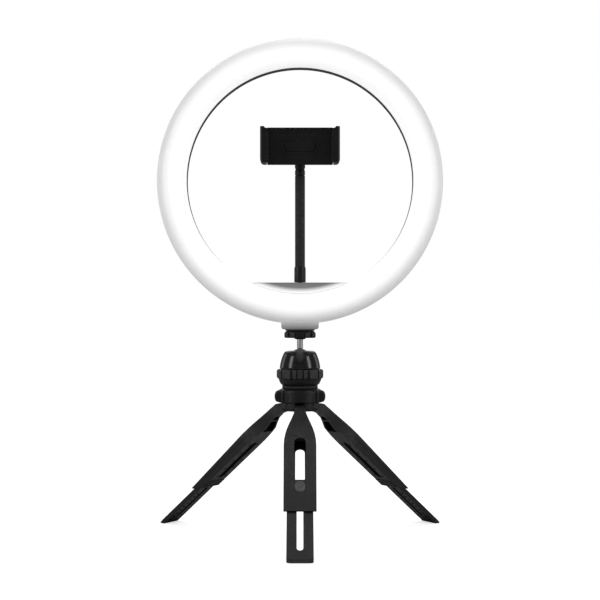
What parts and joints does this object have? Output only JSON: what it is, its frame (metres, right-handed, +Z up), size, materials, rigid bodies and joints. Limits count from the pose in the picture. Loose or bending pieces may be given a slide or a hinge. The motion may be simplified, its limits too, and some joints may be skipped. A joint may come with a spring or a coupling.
{
  "type": "ring light",
  "caption": "Desktop LED ring light with a bendable phone holder, on a ball head and a folding tripod with telescopic legs.",
  "frame": {"origin": "on the surface it stands on, under the middle of the whole object's box; the stand's axis is 33.1 mm behind it at x = 0", "axes": "+Z up; the ring and the phone holder face -Y; +X is to the right of someone looking at the ring's face"},
  "size_m": [0.2672, 0.2324, 0.4509],
  "materials": {
    "diffuser": "opal, satin, lets light through",
    "housing": "fine moulded texture",
    "trim": "satin",
    "board": "solder mask",
    "circuit": "solder mask",
    "brass": "turned",
    "steel": "polished, turned",
    "rubber": "matt",
    "gloss": "glossy",
    "button": "satin",
    "black": "fine moulded texture"
  },
  "bodies": {
    "tripod": {"hub": "black", "base_screw": "steel", "head_washer": "rubber", "front_leg_pin": "steel", "left_leg_pin": "steel", "right_leg_pin": "steel"},
    "collar": {"collar": "black"},
    "front_leg": {"front_leg_casing": "black"},
    "front_bar": {"front_leg_bar": "black", "front_foot": "rubber"},
    "front_button": {"front_leg_button": "button"},
    "left_leg": {"left_leg_casing": "black"},
    "left_bar": {"left_leg_bar": "black", "left_foot": "rubber"},
    "left_button": {"left_leg_button": "button"},
    "right_leg": {"right_leg_casing": "black"},
    "right_bar": {"right_leg_bar": "black", "right_foot": "rubber"},
    "right_button": {"right_leg_button": "button"},
    "ball_head": {"head_bowl": "black", "ball_dome": "gloss"},
    "lock_ring": {"lock_ring": "black"},
    "ball_liner": {"ball_liner": "trim"},
    "light": {"ball": "gloss", "stem": "steel", "disc_pad": "rubber", "diffuser": "diffuser", "rear_housing": "housing", "led_board": "board", "control_board": "circuit", "holder_shelf": "trim", "mount_block": "trim", "tripod_insert": "brass", "cable_grommet": "rubber", "neck_ferrule": "black", "housing_screw_1": "steel", "housing_screw_2": "steel", "housing_screw_3": "steel", "housing_screw_4": "steel", "housing_screw_5": "steel", "housing_screw_6": "steel"},
    "thumb_disc": {"thumb_disc": "black"},
    "neck_1": {"neck_link_1": "rubber"},
    "neck_2": {"neck_link_2": "rubber"},
    "neck_3": {"neck_link_3": "rubber"},
    "neck_4": {"neck_link_4": "rubber", "neck_elbow": "black"},
    "clamp_cup": {"clamp_cup": "black"},
    "cup_nut": {"clamp_cup_nut": "black"},
    "clamp": {"clamp_plate": "black", "clamp_cover": "black", "clamp_pad": "rubber"},
    "left_jaw": {"left_jaw": "black", "left_jaw_pad": "rubber"},
    "right_jaw": {"right_jaw": "black", "right_jaw_pad": "rubber"}
  },
  "joints": [
    {"name": "front_leg_fold", "type": "hinge", "parent": "tripod", "child": "front_leg", "pos_m": [0, 0.01965, 0.115], "axis": [1, 0, 0], "range_deg": [0, 49]},
    {"name": "front_leg_extend", "type": "slide", "parent": "front_leg", "child": "front_bar", "axis": [0, -0.7547, -0.6561], "range_m": [-0.0472, 0]},
    {"name": "front_button_press", "type": "slide", "parent": "front_bar", "child": "front_button", "axis": [0, -0.6561, 0.7547], "range_m": [-0.0015, 0], "stiffness_N_per_m": 600},
    {"name": "left_leg_fold", "type": "hinge", "parent": "tripod", "child": "left_leg", "pos_m": [-0.01169, 0.0399, 0.115], "axis": [-0.5, -0.866, 0], "range_deg": [0, 49]},
    {"name": "left_leg_extend", "type": "slide", "parent": "left_leg", "child": "left_bar", "axis": [-0.6536, 0.3774, -0.6561], "range_m": [-0.0472, 0]},
    {"name": "left_button_press", "type": "slide", "parent": "left_bar", "child": "left_button", "axis": [-0.5682, 0.328, 0.7547], "range_m": [-0.0015, 0], "stiffness_N_per_m": 600},
    {"name": "right_leg_fold", "type": "hinge", "parent": "tripod", "child": "right_leg", "pos_m": [0.01169, 0.0399, 0.115], "axis": [-0.5, 0.866, 0], "range_deg": [0, 49]},
    {"name": "right_leg_extend", "type": "slide", "parent": "right_leg", "child": "right_bar", "axis": [0.6536, 0.3774, -0.6561], "range_m": [-0.0472, 0]},
    {"name": "right_button_press", "type": "slide", "parent": "right_bar", "child": "right_button", "axis": [0.5682, 0.328, 0.7547], "range_m": [-0.0015, 0], "stiffness_N_per_m": 600},
    {"name": "collar_turn", "type": "hinge", "parent": "tripod", "child": "collar", "pos_m": [0, 0.03315, 0.126], "axis": [0, 0, 1], "range_deg": [-30, 0]},
    {"name": "head_pan", "type": "hinge", "parent": "tripod", "child": "ball_head", "pos_m": [0, 0.03315, 0.136], "axis": [0, 0, 1], "continuous": true},
    {"name": "lock_ring_turn", "type": "hinge", "parent": "ball_head", "child": "lock_ring", "pos_m": [0, 0.03315, 0.1455], "axis": [0, 0, 1], "range_deg": [-60, 0]},
    {"name": "head_side_tilt", "type": "hinge", "parent": "ball_head", "child": "ball_liner", "pos_m": [0, 0.03315, 0.1586], "axis": [0, 1, 0], "range_deg": [-16, 16]},
    {"name": "head_tilt", "type": "hinge", "parent": "ball_liner", "child": "light", "pos_m": [0, 0.03315, 0.1586], "axis": [1, 0, 0], "range_deg": [-16, 78]},
    {"name": "thumb_disc_turn", "type": "hinge", "parent": "light", "child": "thumb_disc", "pos_m": [0, 0.03315, 0.181], "axis": [0, 0, 1], "continuous": true},
    {"name": "neck_side_bend", "type": "hinge", "parent": "light", "child": "neck_1", "pos_m": [0, 0.03915, 0.24385], "axis": [0, 1, 0], "range_deg": [-22, 22]},
    {"name": "neck_bend_2", "type": "hinge", "parent": "neck_1", "child": "neck_2", "pos_m": [0, 0.03915, 0.2645], "axis": [1, 0, 0], "range_deg": [-22, 22]},
    {"name": "neck_bend_3", "type": "hinge", "parent": "neck_2", "child": "neck_3", "pos_m": [0, 0.03915, 0.285], "axis": [1, 0, 0], "range_deg": [-22, 22]},
    {"name": "neck_bend_4", "type": "hinge", "parent": "neck_3", "child": "neck_4", "pos_m": [0, 0.03915, 0.3055], "axis": [1, 0, 0], "range_deg": [-22, 22]},
    {"name": "clamp_tilt", "type": "hinge", "parent": "neck_4", "child": "clamp_cup", "pos_m": [0, 0.02715, 0.349], "axis": [1, 0, 0], "range_deg": [-20, 20]},
    {"name": "cup_nut_turn", "type": "hinge", "parent": "clamp_cup", "child": "cup_nut", "pos_m": [0, 0.02715, 0.349], "axis": [0, 1, 0], "range_deg": [-90, 0]},
    {"name": "clamp_turn", "type": "hinge", "parent": "clamp_cup", "child": "clamp", "pos_m": [0, 0.01715, 0.349], "axis": [0, 1, 0], "range_deg": [-90, 0]},
    {"name": "left_jaw_slide", "type": "slide", "parent": "clamp", "child": "left_jaw", "axis": [-1, 0, 0], "range_m": [0, 0.013], "stiffness_N_per_m": 200},
    {"name": "right_jaw_slide", "type": "slide", "parent": "clamp", "child": "right_jaw", "axis": [1, 0, 0], "range_m": [0, 0.013], "stiffness_N_per_m": 200}
  ]
}
